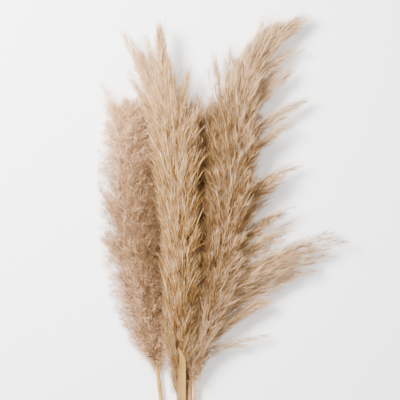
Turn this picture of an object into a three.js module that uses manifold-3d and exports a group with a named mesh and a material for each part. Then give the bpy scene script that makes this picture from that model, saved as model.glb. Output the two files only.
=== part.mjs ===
// A bundle of four cut and dried pampas grass stalks with their plumes, lying on a flat surface.
// Millimetres. +Z is up from the surface, +Y runs along the stalks towards the plumes' tips, and the
// origin is on the surface under the middle of the bundle.
import * as THREE from "three";
import { mergeVertices } from "three/addons/utils/BufferGeometryUtils.js";
import Module from "manifold-3d";

const wasm = await Module();
wasm.setup();

// Stalks
const STALK_TOP_RADIUS = 3.6;
const STALK_FOOT_RADIUS = 4.5;
const STALK_SIDES = 8;
const STALK_STEPS = 14;
const STALK_KNOT_SWELL = 0.5;
const STALK_KNOT_LENGTH = 7;
const CURVE_TENSION = 0.5;
const FOOT_SPACING = 9.9;
const LANES_X = -51;
const LANES_START_Y = -420;

// Middle of the bundle's outline, seen from above, in the frame that the tables below are written in
const MIDDLE_X = 16.5;
const MIDDLE_Y = -9;

// Gaps between neighbouring pieces
const PIECE_GAP = 0.3;
const PLUME_GAP = 0.4;

// Leaf sheaths
const SHEATH_HALF_WIDTH = 8.4;
const SHEATH_HALF_THICKNESS = 5.4;
const SHEATH_END_RADIUS = 5.2;
const SHEATH_START_SHARE = 0.01;
const SHEATH_END_SHARE = 0.46;
const LIP_HALF_WIDTH = 6.4;
const LIP_HALF_THICKNESS = 2.2;
const LIP_TAPER_SHARE = 0.3;
const LIP = [[-57, -250, 17], [-57, -200, 26], [-57.5, -160, 33], [-57, -120, 41], [-58, -92, 49],
  [-65, -72, 52]];
const LEAF_HALF_WIDTH = 2.2;
const LEAF_HALF_THICKNESS = 3.4;
const LEAF_END_SHARE = 0.34;
const LEAF_SPAN = [0.25, 0.98];
const LEAF_OFFSET = [-4.4, 0, 2];

// Plumes
const AXIS_STEPS = 60;
const RACHIS_RADIUS = 3.6;
const CORE_SIDES = 8;
const CORE_STEPS = 16;
const CORE_TIP_SHARE = 0.35;
const CORE_TAPER_START = 0.55;
const CORE_FOOT_LENGTH = 0.08;
const SPIKE_SIDES = 3;
const SPIKE_STEPS = 2;
const LOCK_STEPS = 4;
const SPIKE_HALF_WIDTH = 7;
const THICKNESS_SHARE = 0.42;
const WIDEST_SHARE = 0.55;
const ROOT_SHARE = 0.6;
const GOLDEN_ANGLE = Math.PI * (3 - Math.sqrt(5));
const FIRST_BRANCH_SHARE = 0.04;
const FIRST_ROOT_SHARE = 0.004;
const BRANCH_CROWDING = 0.95;
const ADVANCE_SPREAD = [0.8, 1.2];
const REACH_SPREAD = [0.92, 1.14];
const BRANCH_BEND_ALONG = 0.55;
const BRANCH_BEND_OUT = 0.45;
const LOCK_BEND_ALONG = 0.45;
const LOCK_BEND_AHEAD = 0.16;
const SURFACE_CLEARANCE = 2.5;
const NEIGHBOUR_CLEARANCE = 4;
const REACH_STEP = 3;

// Colours of dry straw
const STRAW = { color: 0xdcc49a, roughness: 0.55, metalness: 0 };
const SHEATH_STRAW = { color: 0xcdb68a, roughness: 0.5, metalness: 0 };
const WITHERED = { color: 0x9c7a50, roughness: 0.8, metalness: 0 };

// Each plume: the points that its rachis runs through, how far its branches reach to its left and
// right and up from the rachis at equal steps from foot to tip, the half width that its neighbours
// keep clear of, the share of the outline that its dense head fills, how far a branch runs along the
// rachis, how many there are, and the long locks that stand out of the outline. A lock is [share of
// the rachis at its root, x, y, z of its tip, half width].
const PLUMES = {
  plume_back: {
    seed: 3,
    axis: [[-49, -130, 13], [-41, -43, 13], [-29, 47, 13], [-19, 137, 13], [-13, 227, 13],
      [-10, 299, 15], [-8, 342, 20]],
    left: [10, 24, 30, 34, 36, 37, 38, 38, 38, 34, 18],
    right: [10, 22, 28, 32, 34, 36, 38, 38, 38, 34, 18],
    up: [9, 22, 30, 33, 34, 34, 34, 32, 30, 24, 12],
    weight: 30,
    core: 0.42,
    advance: 100,
    branches: 80,
    locks: [[0.8, -30, 372, 24, 3.5], [0.82, -3, 374, 22, 3]],
    color: 0xb08d68,
  },
  plume_left: {
    seed: 1,
    axis: [[-105, -99, 13], [-117, -43, 17], [-135, 47, 18], [-145, 137, 18], [-151, 227, 18],
      [-155, 317, 18], [-159, 350, 18]],
    left: [12, 32, 39, 44, 47, 47, 48, 48, 48, 46, 34],
    right: [12, 29, 38, 45, 49, 50, 50, 49, 48, 46, 34],
    up: [10, 27, 37, 43, 46, 47, 47, 46, 43, 37, 26],
    weight: 40,
    core: 0.54,
    advance: 95,
    branches: 160,
    locks: [[0.84, -200, 392, 26, 3], [0.9, -162, 372, 22, 4], [0.88, -182, 366, 34, 4],
      [0.42, -206, 209, 22, 3], [0.3, -203, 122, 16, 3]],
    color: 0xcbab93,
  },
  plume_right: {
    seed: 4,
    axis: [[-38, -126, 24], [-26, -79, 31], [-5, -7, 39], [12, 83, 43], [22, 173, 44],
      [32, 263, 43], [41, 335, 42], [55, 398, 40], [78, 457, 36], [102, 488, 33],
      [132, 502, 30]],
    left: [13, 28, 32, 36, 42, 46, 47, 42, 28, 18, 8],
    right: [13, 25, 46, 62, 50, 47, 46, 38, 26, 19, 8],
    up: [11, 27, 38, 44, 46, 46, 44, 40, 30, 20, 8],
    weight: 36,
    core: 0.56,
    advance: 120,
    branches: 185,
    locks: [[0.04, 95, -59, 20, 3], [0.06, 95, 11, 34, 7], [0.08, 124, 32, 16, 6],
      [0.14, 200, 85, 22, 7], [0.16, 155, 104, 48, 9], [0.2, 173, 113, 30, 7],
      [0.2, 239, 130, 26, 8], [0.25, 137, 137, 58, 9], [0.3, 124, 167, 34, 7],
      [0.36, 108, 209, 22, 6], [0.4, 119, 234, 44, 5], [0.43, 153, 259, 30, 5.5],
      [0.54, 130, 326, 40, 4.5], [0.6, 167, 374, 28, 4], [0.66, 143, 428, 34, 4.5],
      [0.7, 122, 430, 22, 5], [0.76, 147, 466, 24, 5], [0.8, 146, 508, 38, 6],
      [0.74, 100, 510, 38, 5], [0.66, 88, 516, 28, 3.5], [0.6, 41, 511, 34, 3.5],
      [0.56, 23, 486, 26, 3.5], [0.5, -3, 450, 30, 3.5]],
    color: 0xbf9c76,
  },
  plume_centre: {
    seed: 2,
    axis: [[-65, -124, 29], [-60, -43, 46], [-59, 47, 60], [-63, 137, 64], [-68, 227, 64],
      [-77, 317, 62], [-89, 396, 58], [-95, 468, 54]],
    left: [14, 28, 32, 34, 34, 34, 35, 38, 34, 10, 5],
    right: [14, 31, 40, 42, 42, 42, 44, 50, 48, 22, 5],
    up: [11, 28, 37, 42, 45, 46, 46, 43, 36, 20, 5],
    weight: 38,
    core: 0.56,
    advance: 130,
    branches: 170,
    locks: [[0.66, -160, 484, 44, 5], [0.68, -148, 479, 60, 5], [0.76, -117, 484, 40, 5],
      [0.72, -131, 455, 52, 5], [0.64, -151, 419, 38, 4.5], [0.78, -81, 440, 66, 5],
      [0.66, -47, 410, 52, 5.5], [0.6, -30, 368, 46, 6], [0.84, -97, 494, 58, 5]],
    color: 0xd3b48a,
  },
};

// Each stalk runs from its plume's foot to a cut end on the surface, past one knot.
const STALKS = {
  stalk_left: {
    plume: "plume_left",
    way: [[-97, -169, 12], [-84, -300, 7.5]],
    lane: -1.5,
    end: -538,
    knot: 0.72,
  },
  stalk_centre: {
    plume: "plume_centre",
    way: [[-61, -169, 25], [-59, -300, 13]],
    lane: -0.5,
    end: -524,
    knot: 0.8,
  },
  stalk_back: {
    plume: "plume_back",
    way: [[-49, -169, 12], [-47, -300, 7]],
    lane: 0.5,
    end: -532,
    knot: 0.66,
  },
  stalk_right: {
    plume: "plume_right",
    way: [[-37, -169, 20], [-36, -300, 10]],
    lane: 1.5,
    end: -514,
    knot: 0.76,
  },
};

const vec = (p) => new THREE.Vector3(...p);
const at = (list, share) => {
  const place = THREE.MathUtils.clamp(share, 0, 1) * (list.length - 1);
  const low = Math.min(Math.floor(place), list.length - 2);
  return THREE.MathUtils.lerp(list[low], list[low + 1], place - low);
};

// A repeatable draw between 0 and 1.
const draw = (seed, index, channel) => {
  const wave = Math.sin(seed * 37.7 + index * 12.9898 + channel * 78.233) * 43758.5453;
  return wave - Math.floor(wave);
};

// A three.js geometry as a manifold solid, and back.
function solid(geometry) {
  const bare = geometry.clone();
  bare.deleteAttribute("normal");
  bare.deleteAttribute("uv");
  const merged = mergeVertices(bare, 1e-3);
  return new wasm.Manifold(new wasm.Mesh({
    numProp: 3,
    vertProperties: merged.attributes.position.array,
    triVerts: new Uint32Array(merged.index.array),
  }));
}

function geometryOf(manifold) {
  const mesh = manifold.getMesh();
  return new THREE.BufferGeometry()
    .setAttribute("position", new THREE.BufferAttribute(new Float32Array(mesh.vertProperties), 3))
    .setIndex(new THREE.BufferAttribute(new Uint32Array(mesh.triVerts), 1));
}

// Moves a unit cylinder or cone, standing along its own Y, onto a curve. size(t) gives its half width
// across and its half thickness along outward at the share t of the curve.
function swept(template, curve, size, outward) {
  const geometry = template.clone();
  const place = geometry.attributes.position;
  for (let i = 0; i < place.count; i++) {
    const t = THREE.MathUtils.clamp(place.getY(i) + 0.5, 0, 1);
    const radius = Math.hypot(place.getX(i), place.getZ(i));
    const turn = Math.atan2(place.getX(i), place.getZ(i));
    const tangent = curve.getTangent(t);
    const out = outward.clone().addScaledVector(tangent, -outward.dot(tangent)).normalize();
    const side = new THREE.Vector3().crossVectors(tangent, out).normalize();
    const [across, thick] = radius > 1e-6 ? size(t) : [0, 0];
    const point = curve.getPoint(t)
      .addScaledVector(side, Math.sin(turn) * across)
      .addScaledVector(out, Math.cos(turn) * thick);
    place.setXYZ(i, point.x, point.y, point.z);
  }
  return geometry;
}

const TUBE = new THREE.CylinderGeometry(1, 1, 1, STALK_SIDES, STALK_STEPS);
const CORE = new THREE.CylinderGeometry(1, 1, 1, CORE_SIDES, CORE_STEPS, false, Math.PI / CORE_SIDES);
const SPIKE = new THREE.ConeGeometry(1, 1, SPIKE_SIDES, SPIKE_STEPS);
const LOCK = new THREE.ConeGeometry(1, 1, SPIKE_SIDES, LOCK_STEPS);
const BLADE = new THREE.CylinderGeometry(1, 1, 1, SPIKE_SIDES + 1, STALK_STEPS);
const UP = new THREE.Vector3(0, 0, 1);

// A plume's rachis as a curve with evenly spaced points to measure distances from.
function axisOf(plume) {
  const curve = new THREE.CatmullRomCurve3(plume.axis.map(vec), false, "catmullrom", CURVE_TENSION);
  return { curve, length: curve.getLength(), points: curve.getSpacedPoints(AXIS_STEPS) };
}
for (const plume of Object.values(PLUMES)) Object.assign(plume, axisOf(plume));

// A point at the share u of the rachis, which runs on straight past its tip, and the way it points.
function station(plume, u) {
  const held = THREE.MathUtils.clamp(u, 0, 1);
  const point = plume.curve.getPointAt(held);
  const tangent = plume.curve.getTangentAt(held);
  return { point: point.addScaledVector(tangent, (u - held) * plume.length), tangent };
}

const distanceTo = (plume, p) =>
  Math.sqrt(Math.min(...plume.points.map((q) => q.distanceToSquared(p)))) - plume.weight;

// How far a branch may reach from its rachis: to the plume's outline, the surface or a neighbour.
function freeReach(plume, point, out, wanted) {
  const others = Object.values(PLUMES).filter((other) => other !== plume);
  let reach = REACH_STEP;
  for (; reach < wanted; reach += REACH_STEP) {
    const p = point.clone().addScaledVector(out, reach);
    if (p.z < SURFACE_CLEARANCE) break;
    const own = distanceTo(plume, p);
    if (others.some((other) => distanceTo(other, p) - own < NEIGHBOUR_CLEARANCE)) break;
  }
  return Math.min(reach, wanted);
}

// The outline round the rachis: an ellipse quarter on each side.
function outlineReach(plume, u, turn) {
  const side = at(Math.cos(turn) > 0 ? plume.right : plume.left, u);
  return 1 / Math.hypot(Math.cos(turn) / side, Math.sin(turn) / at(plume.up, u));
}

// One branch: it leaves the rachis steeply and bends outwards to its tip.
function branchCurve(plume, index) {
  const u = FIRST_BRANCH_SHARE + Math.pow((index + 0.5) / plume.branches, BRANCH_CROWDING);
  const turn = index * GOLDEN_ANGLE;
  const advance = plume.advance * THREE.MathUtils.lerp(...ADVANCE_SPREAD, draw(plume.seed, index, 1));
  const root = station(plume, Math.max(u - advance / plume.length, FIRST_ROOT_SHARE));
  const end = station(plume, u);
  const level = new THREE.Vector3().crossVectors(end.tangent, UP).normalize();
  const rise = new THREE.Vector3().crossVectors(level, end.tangent).normalize();
  const out = level.multiplyScalar(Math.cos(turn)).addScaledVector(rise, Math.sin(turn));
  const stretched = THREE.MathUtils.lerp(...REACH_SPREAD, draw(plume.seed, index, 2));
  const reach = freeReach(plume, end.point, out, outlineReach(plume, u, turn) * stretched);
  const tip = end.point.clone().addScaledVector(out, reach);
  const bend = root.point.clone().lerp(end.point, BRANCH_BEND_ALONG)
    .addScaledVector(out, reach * BRANCH_BEND_OUT);
  return { curve: new THREE.QuadraticBezierCurve3(root.point, bend, tip), out };
}

const spikeSize = (swell, width = SPIKE_HALF_WIDTH) => (t) => {
  const fat = t < WIDEST_SHARE
    ? THREE.MathUtils.lerp(ROOT_SHARE, 1, t / WIDEST_SHARE)
    : (1 - t) / (1 - WIDEST_SHARE);
  return [fat * width + swell, fat * width * THICKNESS_SHARE + swell];
};

function lockCurve(plume, [share, x, y, z]) {
  const root = station(plume, share);
  const tip = new THREE.Vector3(x, y, z);
  const bend = root.point.clone().lerp(tip, LOCK_BEND_ALONG)
    .addScaledVector(root.tangent, root.point.distanceTo(tip) * LOCK_BEND_AHEAD);
  const out = tip.clone().sub(root.point).cross(root.tangent).cross(root.tangent).negate().normalize();
  return { curve: new THREE.QuadraticBezierCurve3(root.point, bend, tip), out };
}

// The dense head that the branches stand out of: a share of the plume's own outline, which thins
// towards the tip and, at the foot, down to the rachis.
function coreSize(plume, swell) {
  return (t) => {
    const past = THREE.MathUtils.clamp((t - CORE_TAPER_START) / (1 - CORE_TAPER_START), 0, 1);
    const foot = Math.min(t / CORE_FOOT_LENGTH, 1);
    const share = plume.core * foot * THREE.MathUtils.lerp(1, CORE_TIP_SHARE, past);
    const across = (at(plume.left, t) + at(plume.right, t)) / 2;
    const rachis = RACHIS_RADIUS * (1 - share);
    return [rachis + across * share + swell, rachis + at(plume.up, t) * share + swell];
  };
}

// A whole plume as one solid. swell makes every piece of it thicker, for cutting a neighbour clear.
function plumeSolid(plume, swell = 0) {
  const pieces = [solid(swept(CORE, plume.curve, coreSize(plume, swell), UP))];
  for (let i = 0; i < plume.branches; i++) {
    const { curve, out } = branchCurve(plume, i);
    pieces.push(solid(swept(SPIKE, curve, spikeSize(swell), out)));
  }
  for (const lock of plume.locks) {
    const { curve, out } = lockCurve(plume, lock);
    pieces.push(solid(swept(LOCK, curve, spikeSize(swell, lock[4]), out)));
  }
  return wasm.Manifold.union(pieces);
}

const biggest = (manifold) =>
  manifold.decompose().reduce((best, body) => (body.volume() > best.volume() ? body : best));

const bundle = new THREE.Group();
function add(name, manifold, look) {
  const mesh = new THREE.Mesh(geometryOf(manifold), new THREE.MeshStandardMaterial(look));
  mesh.name = name;
  bundle.add(mesh);
}

// A stalk's centre line and its radius at the share t of its way from the plume to the cut end.
function stalkForm(stalk) {
  const foot = station(PLUMES[stalk.plume], 0);
  const top = foot.tangent.clone().negate();
  const x = LANES_X + stalk.lane * FOOT_SPACING;
  const curve = new THREE.CatmullRomCurve3([
    foot.point,
    ...stalk.way.map(vec),
    new THREE.Vector3(x, LANES_START_Y, STALK_FOOT_RADIUS),
    new THREE.Vector3(x, stalk.end, STALK_FOOT_RADIUS),
  ], false, "catmullrom", CURVE_TENSION);
  const length = curve.getLength();
  const radius = (t) => {
    const fromKnot = ((t - stalk.knot) * length) / STALK_KNOT_LENGTH;
    const swell = STALK_KNOT_SWELL * Math.exp(-fromKnot * fromKnot);
    return THREE.MathUtils.lerp(STALK_TOP_RADIUS, STALK_FOOT_RADIUS, t) + swell;
  };
  return { curve, radius, top, topOffset: top.dot(foot.point) + PIECE_GAP };
}

// A stalk as a solid, cut square to its plume's foot and flat on the surface.
function stalkSolid({ curve, radius, top, topOffset }, swell = 0) {
  return solid(swept(TUBE, curve, (t) => [radius(t) + swell, radius(t) + swell], UP))
    .trimByPlane(top.toArray(), topOffset)
    .trimByPlane([0, 0, 1], 0);
}

// Part of a curve, from one share of it to another.
function stretch(curve, from, to, steps) {
  const points = [];
  for (let i = 0; i <= steps; i++) points.push(curve.getPoint(THREE.MathUtils.lerp(from, to, i / steps)));
  return new THREE.CatmullRomCurve3(points);
}

// The pale sheath: a flattened tube round the centre stalk with a pointed lip, which lies on the foot
// of the plume and bends to the left.
function sheathSolid(stalk, swell = 0) {
  const way = stretch(stalk.curve, SHEATH_START_SHARE, SHEATH_END_SHARE, STALK_STEPS);
  const tubeSize = (t) => [
    THREE.MathUtils.lerp(SHEATH_HALF_WIDTH, SHEATH_END_RADIUS, t) + swell,
    THREE.MathUtils.lerp(SHEATH_HALF_THICKNESS, SHEATH_END_RADIUS, t) + swell,
  ];
  const lipSize = (t) => {
    const fat = Math.min(1, (1 - t) / LIP_TAPER_SHARE);
    return [fat * LIP_HALF_WIDTH + swell, fat * LIP_HALF_THICKNESS + swell];
  };
  const tube = solid(swept(TUBE, way, tubeSize, UP));
  const lip = solid(swept(BLADE, new THREE.CatmullRomCurve3(LIP.map(vec)), lipSize, UP));
  return tube.add(lip);
}

// The withered leaf: a narrow blade along the left of the right stalk, pointed at both ends.
function leafSolid(stalk, swell = 0) {
  const way = stretch(stalk.curve, SHEATH_START_SHARE, LEAF_END_SHARE, STALK_STEPS);
  way.points.forEach((point) => point.add(vec(LEAF_OFFSET)));
  const size = (t) => {
    const fat = Math.sin(Math.PI * THREE.MathUtils.lerp(...LEAF_SPAN, t));
    return [fat * LEAF_HALF_WIDTH + swell, fat * LEAF_HALF_THICKNESS + swell];
  };
  return solid(swept(BLADE, way, size, UP));
}

const forms = {};
for (const [name, stalk] of Object.entries(STALKS)) forms[name] = stalkForm(stalk);

let laid = wasm.Manifold.union([
  ...Object.values(forms).map((form) => stalkSolid(form, PIECE_GAP)),
  sheathSolid(forms.stalk_centre, PIECE_GAP),
  leafSolid(forms.stalk_right, PIECE_GAP),
]);

for (const [name, form] of Object.entries(forms))
  add(name, stalkSolid(form), STRAW);
const sheath = sheathSolid(forms.stalk_centre).subtract(stalkSolid(forms.stalk_centre, PIECE_GAP));
add("sheath_centre", biggest(sheath), SHEATH_STRAW);
const leaf = leafSolid(forms.stalk_right).subtract(stalkSolid(forms.stalk_right, PIECE_GAP));
add("leaf_right", biggest(leaf), WITHERED);

// Each plume is cut clear of those laid down before it, and flat at its foot and on the surface.
for (const [name, plume] of Object.entries(PLUMES)) {
  const { point, tangent } = station(plume, 0);
  const whole = plumeSolid(plume)
    .trimByPlane([0, 0, 1], 0)
    .trimByPlane(tangent.toArray(), tangent.dot(point));
  add(name, biggest(whole.subtract(laid)), { color: plume.color, roughness: 0.95, metalness: 0 });
  laid = laid.add(plumeSolid(plume, PLUME_GAP));
}

bundle.position.set(-MIDDLE_X, -MIDDLE_Y, 0);
export default bundle;
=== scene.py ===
"""A bundle of dried pampas grass: four feathery plumes on straw stalks, lying on a pale surface."""

import math

import bpy
import numpy as np
from bpy.props import FloatProperty, FloatVectorProperty, IntProperty, PointerProperty
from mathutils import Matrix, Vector


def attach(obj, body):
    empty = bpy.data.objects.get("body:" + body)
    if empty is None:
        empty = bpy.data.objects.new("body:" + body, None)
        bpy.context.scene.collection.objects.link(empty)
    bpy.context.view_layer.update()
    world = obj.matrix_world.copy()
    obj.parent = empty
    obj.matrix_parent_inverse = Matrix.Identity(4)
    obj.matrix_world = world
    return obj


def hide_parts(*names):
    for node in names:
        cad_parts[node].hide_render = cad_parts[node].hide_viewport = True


bl_info = {
    "name": "Pampas grass bundle",
    "version": (1, 0, 0),
    "blender": (4, 5, 0),
    "location": "3D View > Sidebar > Pampas",
    "description": "Builds the hairs, stalks and sheaths of a bundle of dried pampas grass",
    "category": "Object",
}

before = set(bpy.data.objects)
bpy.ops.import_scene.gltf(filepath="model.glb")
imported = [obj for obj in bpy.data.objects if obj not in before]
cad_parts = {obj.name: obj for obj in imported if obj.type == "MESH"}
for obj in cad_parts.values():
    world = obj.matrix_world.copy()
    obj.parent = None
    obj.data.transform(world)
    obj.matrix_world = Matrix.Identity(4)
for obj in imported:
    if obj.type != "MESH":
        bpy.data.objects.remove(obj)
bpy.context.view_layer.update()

MM = 0.001
UP = np.array([0.0, 0.0, 1.0])
GOLDEN_ANGLE = math.pi * (3 - math.sqrt(5))
# Shapes are worked out in millimetres in a measuring frame, with x to the right, y up the plumes and z off
# the surface. MIDDLE is the part's own origin in it.
MIDDLE = np.array([16.5, -9.0, 0.0])
# Points of a rachis, how many of them a distance skips, and how many hairs get their tone at once.
PATH_POINTS = 241
REACH_STRIDE = 4
TONE_STRIDE = 6
TONE_BLOCK = 20000

# Branches grow out in steps and stay off the surface and a neighbour. They are slimmer where their plume
# is slim, at its foot and on the long locks. FILL_TURN: the turns of extra sets, low to the right.
REACH_STEP = 3.0
SURFACE_CLEARANCE = 2.5
NEIGHBOUR_CLEARANCE = 2.0
SLIM_BELOW = 34.0
LEAST_SLIMNESS = 0.3
LOCK_SLIMNESS = 0.5
FOOT_SLIMNESS = 0.8
FOOT_BRANCHES = 150
FOOT_TOP = 0.09
FILL_TURN = (-0.8, 0.15)

# Hairs are held to the surface, crest, sides and tips of the plumes and off the sheath's blade: where that
# starts, and the room left past it.
LOWEST = 0.05 * MM
SETTLE_HEIGHT = 5.0
CREST_HEIGHT = 100.0
CREST_ROOM = 8.0
SIDE_REACH = 222.0
TOP_REACH = 538.0
SIDE_ROOM = 12.0
LIP_POINTS = 40
LIP_ROOM = 7.0
LIP_DROP = 2.5
LIP_SLOPE = 2.2
LIP_TIP_SLOPE = 1.2

# How far single hairs, wisps and matted hairs stray from the middle of their kind.
HAIR_SPAN = 0.92
HAIR_LEANS = (0.2, 1.7)
HAIR_HANGS = (0.3, 1.7)
HAIR_LENGTHS = (0.45, 1.4)
HAIR_WIDTHS = (0.6, 1.5)
WISP_STARTS = (0.25, 0.97)
WISP_LEANS = (0.1, 1.2)
WISP_LENGTHS = (1.1, 2.8)
WISP_WIDTHS = (0.5, 1.1)
MAT_START = -95.0
MAT_SPREAD = 13.0
MAT_HEIGHTS = (2.5, 15.0)
MAT_LENGTHS = (12, 24)
MAT_WIDTHS = (0.7, 1.3)
# The mats' dark tones are painted shade of the clefts.
MAT_SHADE_TONES = (0, 0.3)
HAIRS_PER_PIECE = 95000
STEM_POINTS = 5

# Tone runs from 0, the deep brown of painted shade, over 1, the plume's light colour, to 1.7, bleached.
TONE_ENDS = (0.02, 0.98)
HAIR_NOISE = 0.42
STEM_TONE = 0.45
# How far the painted shade of a cleft reaches into a plume, in millimetres.
CLEFT_WIDTH = 29.0
# How close the bands of painted shade and light between the locks lie along a plume.
LOCK_SHADE_BANDS = 57.0

# The dense head tapers to its tip and to its foot.
RACHIS_RADIUS = 3.6
CORE_TIP_SHARE = 0.35
CORE_TAPER_START = 0.55
CORE_FOOT_LENGTH = 0.08
HEAD_INSET = 0.86
HEAD_START = 0.035
HEAD_SIDES = 22

# The stalks' cut ends lie side by side in lanes. The sheath's start and end: half width across and up.
CULM_SIDES = 18
RACHIS_SIDES = 12
FOOT_SPACING = 9.9
FOOT_RADIUS = 4.5
LANES_X = -51.0
LANES_START_Y = -420.0
SHEATH_SPAN = (0.01, 0.46)
SHEATH_SIDES = 28
SHEATH_START = (8.4, 5.4)
SHEATH_END = (5.2, 5.2)
LIP_SIDES = 24
LIP_HALF_WIDTH = 6.4
LEAF_SIDES = 10
LEAF_END = 0.34
LEAF_OFFSET = np.array([-5.0, 0.0, 2.0])

# The stage, in metres, but for the view's middle and the sensor: the lamp stands at the upper left.
VIEW_MIDDLE = np.array([-25.2, 190.8, 0.0])
VIEW_HEIGHT = 0.045
SENSOR_WIDTH = 36
SURFACE_HALF = 15.0
LAMP_SIZE = 0.8
LAMP_PLACE = Vector((-0.95, 0.85, 1.5))
LAMP_AIM = Vector((0, 0.15, 0))

# The plumes, in millimetres: the points of each rachis; its branches' reach to the left, to the right and
# up, at equal steps from foot to tip; the half width it keeps from its neighbours; its head's share of the
# reach; how far down its branches start; their number; and its long locks as share of the way up, tip and
# width. The values are the CAD part's, but for the reach to the left and right of the left, right and
# centre plume and the width of the right plume's three lowest locks.
PLUMES = {
    "plume_back": dict(
        seed=3,
        axis=[[-49, -130, 13], [-41, -43, 13], [-29, 47, 13], [-19, 137, 13], [-13, 227, 13],
              [-10, 299, 15], [-8, 342, 20]],
        left=[10, 24, 30, 34, 36, 37, 38, 38, 38, 34, 18],
        right=[10, 22, 28, 32, 34, 36, 38, 38, 38, 34, 18],
        up=[9, 22, 30, 33, 34, 34, 34, 32, 30, 24, 12],
        weight=30, core=0.42, advance=100, branches=80,
        locks=[[0.8, -30, 372, 24, 3.5], [0.82, -3, 374, 22, 3]],
    ),
    "plume_left": dict(
        seed=1,
        axis=[[-105, -99, 13], [-117, -43, 17], [-135, 47, 18], [-145, 137, 18], [-151, 227, 18],
              [-155, 317, 18], [-159, 350, 18]],
        left=[14, 38, 46, 50, 52, 52, 53, 54, 54, 52, 38],
        right=[13, 36, 47, 55, 60, 62, 62, 60, 58, 52, 38],
        up=[10, 27, 37, 43, 46, 47, 47, 46, 43, 37, 26],
        weight=40, core=0.54, advance=95, branches=160,
        locks=[[0.84, -200, 392, 26, 3], [0.9, -162, 372, 22, 4], [0.88, -182, 366, 34, 4],
               [0.42, -206, 209, 22, 3], [0.3, -203, 122, 16, 3]],
    ),
    "plume_right": dict(
        seed=4,
        axis=[[-38, -126, 24], [-26, -79, 31], [-5, -7, 39], [12, 83, 43], [22, 173, 44],
              [32, 263, 43], [41, 335, 42], [55, 398, 40], [78, 457, 36], [102, 488, 33],
              [132, 502, 30]],
        left=[13, 28, 33, 39, 45, 48, 49, 43, 28, 19, 9],
        right=[10, 12, 30, 51, 44, 42, 42, 36, 28, 24, 13],
        up=[11, 27, 38, 44, 46, 46, 44, 40, 30, 20, 8],
        weight=36, core=0.56, advance=120, branches=185,
        locks=[[0.04, 95, -59, 20, 1.5], [0.06, 95, 11, 34, 5], [0.08, 124, 32, 16, 4],
               [0.14, 200, 85, 22, 7], [0.16, 155, 104, 48, 9], [0.2, 173, 113, 30, 7],
               [0.2, 239, 130, 26, 8], [0.25, 137, 137, 58, 9], [0.3, 124, 167, 34, 7],
               [0.36, 108, 209, 22, 6], [0.4, 119, 234, 44, 5], [0.43, 153, 259, 30, 5.5],
               [0.54, 130, 326, 40, 4.5], [0.6, 167, 374, 28, 4], [0.66, 143, 428, 34, 4.5],
               [0.7, 122, 430, 22, 5], [0.76, 147, 466, 24, 5], [0.8, 146, 508, 38, 6],
               [0.74, 100, 510, 38, 5], [0.66, 88, 516, 28, 3.5], [0.6, 41, 511, 34, 3.5],
               [0.56, 23, 486, 26, 3.5], [0.5, -3, 450, 30, 3.5]],
    ),
    "plume_centre": dict(
        seed=2,
        axis=[[-65, -124, 29], [-60, -43, 46], [-59, 47, 60], [-63, 137, 64], [-68, 227, 64],
              [-77, 317, 62], [-89, 396, 58], [-95, 468, 54]],
        left=[14, 25, 27, 28, 28, 28, 30, 36, 32, 7, 3],
        right=[14, 27, 32, 33, 33, 34, 38, 46, 45, 17, 4],
        up=[11, 28, 37, 42, 45, 46, 46, 43, 36, 20, 5],
        weight=38, core=0.56, advance=130, branches=170,
        locks=[[0.66, -160, 484, 44, 5], [0.68, -148, 479, 60, 5], [0.76, -117, 484, 40, 5],
               [0.72, -131, 455, 52, 5], [0.64, -151, 419, 38, 4.5], [0.78, -81, 440, 66, 5],
               [0.66, -47, 410, 52, 5.5], [0.6, -30, 368, 46, 6], [0.84, -97, 494, 58, 5]],
    ),
}

# Each stalk runs from its plume's foot through two points to a cut end on the surface: its lane there, the
# y of its end, and its knot's share of the way. LIP is the line of the sheath's free blade.
STALKS = {
    "stalk_left": dict(plume="plume_left", way=[[-97, -169, 12], [-84, -300, 7.5]], lane=-1.5, end=-538,
                       knot=0.72),
    "stalk_centre": dict(plume="plume_centre", way=[[-61, -169, 25], [-59, -300, 13]], lane=-0.5,
                         end=-524, knot=0.8),
    "stalk_back": dict(plume="plume_back", way=[[-49, -169, 12], [-47, -300, 7]], lane=0.5, end=-532,
                       knot=0.66),
    "stalk_right": dict(plume="plume_right", way=[[-37, -169, 20], [-36, -300, 10]], lane=1.5, end=-514,
                        knot=0.76),
}
LIP = [[-57, -250, 17], [-57, -200, 26], [-57.5, -160, 33], [-57, -120, 41], [-58, -92, 49],
       [-65, -72, 52]]

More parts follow.
